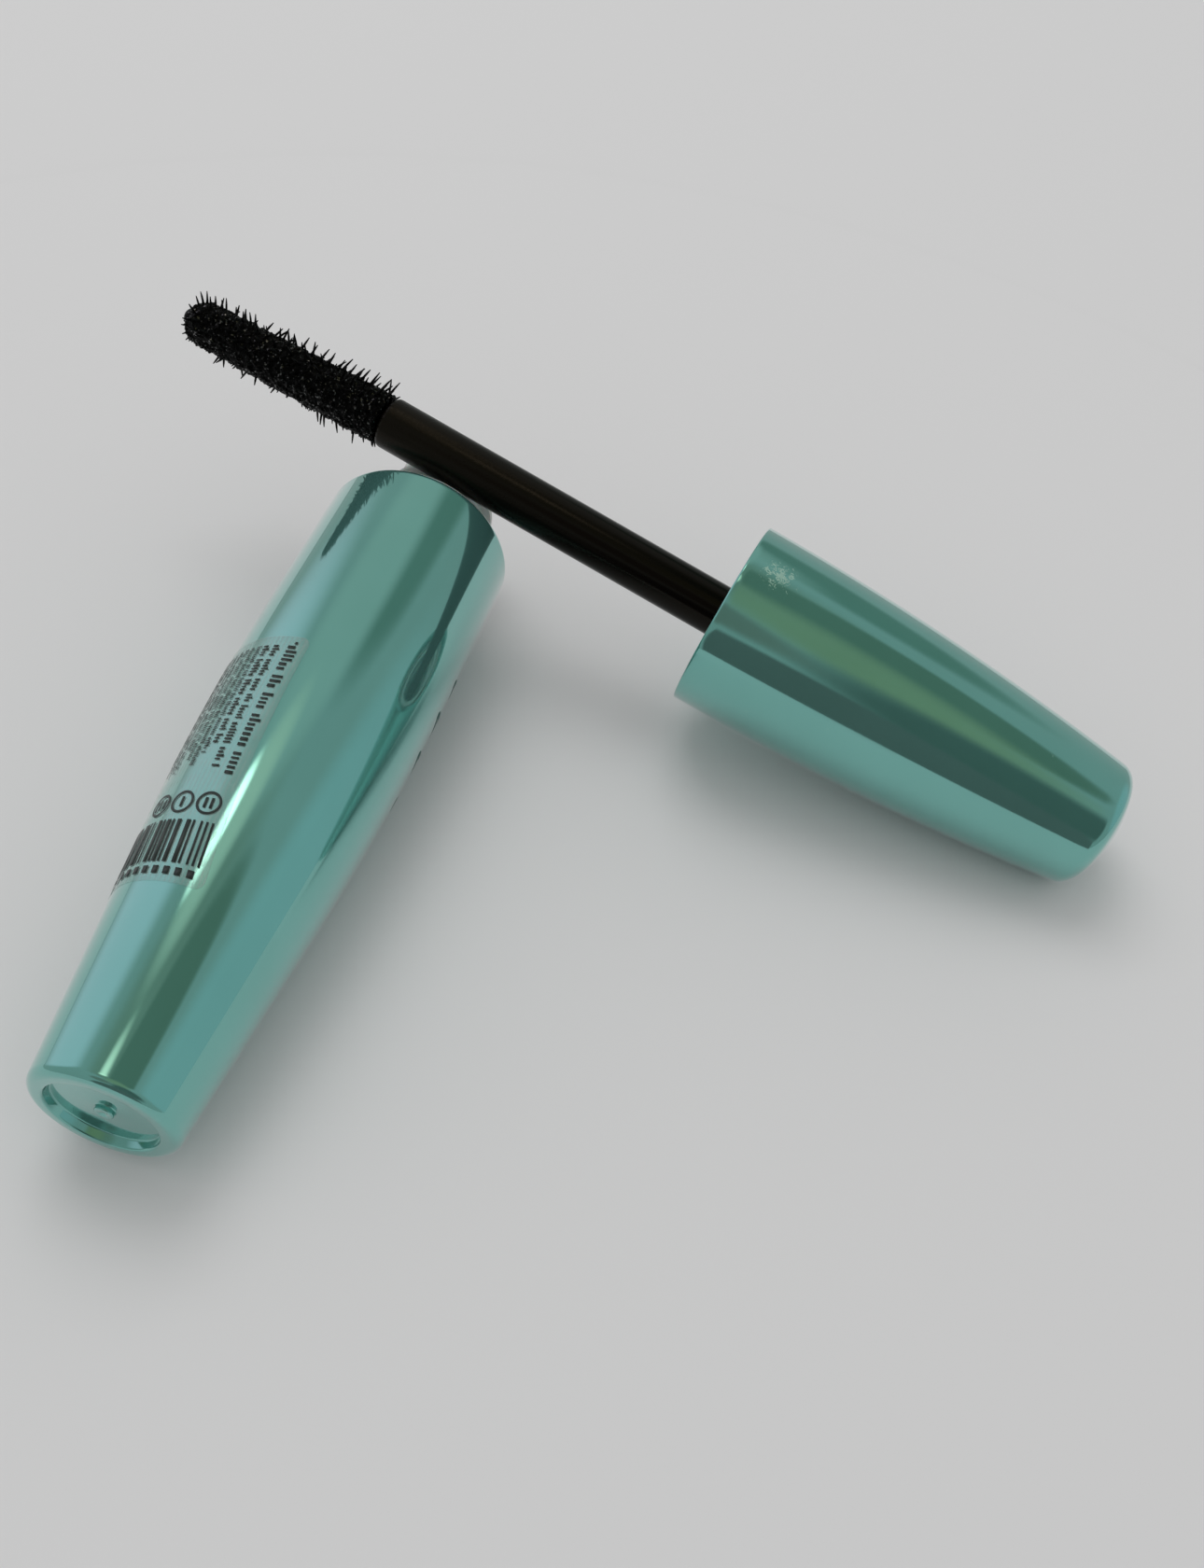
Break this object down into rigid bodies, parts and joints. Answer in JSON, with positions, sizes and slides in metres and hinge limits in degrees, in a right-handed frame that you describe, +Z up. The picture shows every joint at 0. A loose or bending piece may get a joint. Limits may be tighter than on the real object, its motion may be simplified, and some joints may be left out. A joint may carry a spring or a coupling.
{
  "type": "mascara tube",
  "caption": "Open mascara: a tapered metallised bottle lying down, with the cap, stem and moulded brush leaning across its threaded neck.",
  "frame": {"origin": "on the table, under the middle of the open mascara's bounding box", "axes": "+Z up from the table; the bottle points along +Y, base towards -Y and neck towards +Y; the applicator lies along X with the cap's closed end towards +X and the brush towards -X"},
  "size_m": [0.1186, 0.0908, 0.0308],
  "materials": {
    "metallised_plastic": "moulded plastic, vacuum metallised under a clear blue-green lacquer, near-mirror gloss",
    "natural_pp": "natural translucent polypropylene, moulded, satin",
    "wiper_pe": "soft natural polyethylene, moulded",
    "mascara_paste": "wet black paste",
    "label_film": "clear self-adhesive film",
    "insert_pp": "natural polypropylene, moulded",
    "stem_black": "black acetal, moulded, satin",
    "brush_black": "black elastomer, moulded"
  },
  "bodies": {
    "bottle": {"bottle_shell": "metallised_plastic", "inner_vial": "natural_pp", "wiper": "wiper_pe", "mascara_fill": "mascara_paste", "back_label": "label_film"},
    "stem": {"stem": "stem_black"},
    "cap_and_brush": {"cap_shell": "metallised_plastic", "inner_cap": "insert_pp", "brush": "brush_black"}
  },
  "joints": [
    {"name": "applicator_lift", "type": "slide", "parent": "bottle", "child": "stem", "axis": [0, 0, 1], "range_m": [0, 0.06]},
    {"name": "applicator_twist", "type": "hinge", "parent": "stem", "child": "cap_and_brush", "pos_m": [0.01027, 0.03034, 0.01575], "axis": [0.9708, -0.163, -0.1762], "continuous": true}
  ]
}
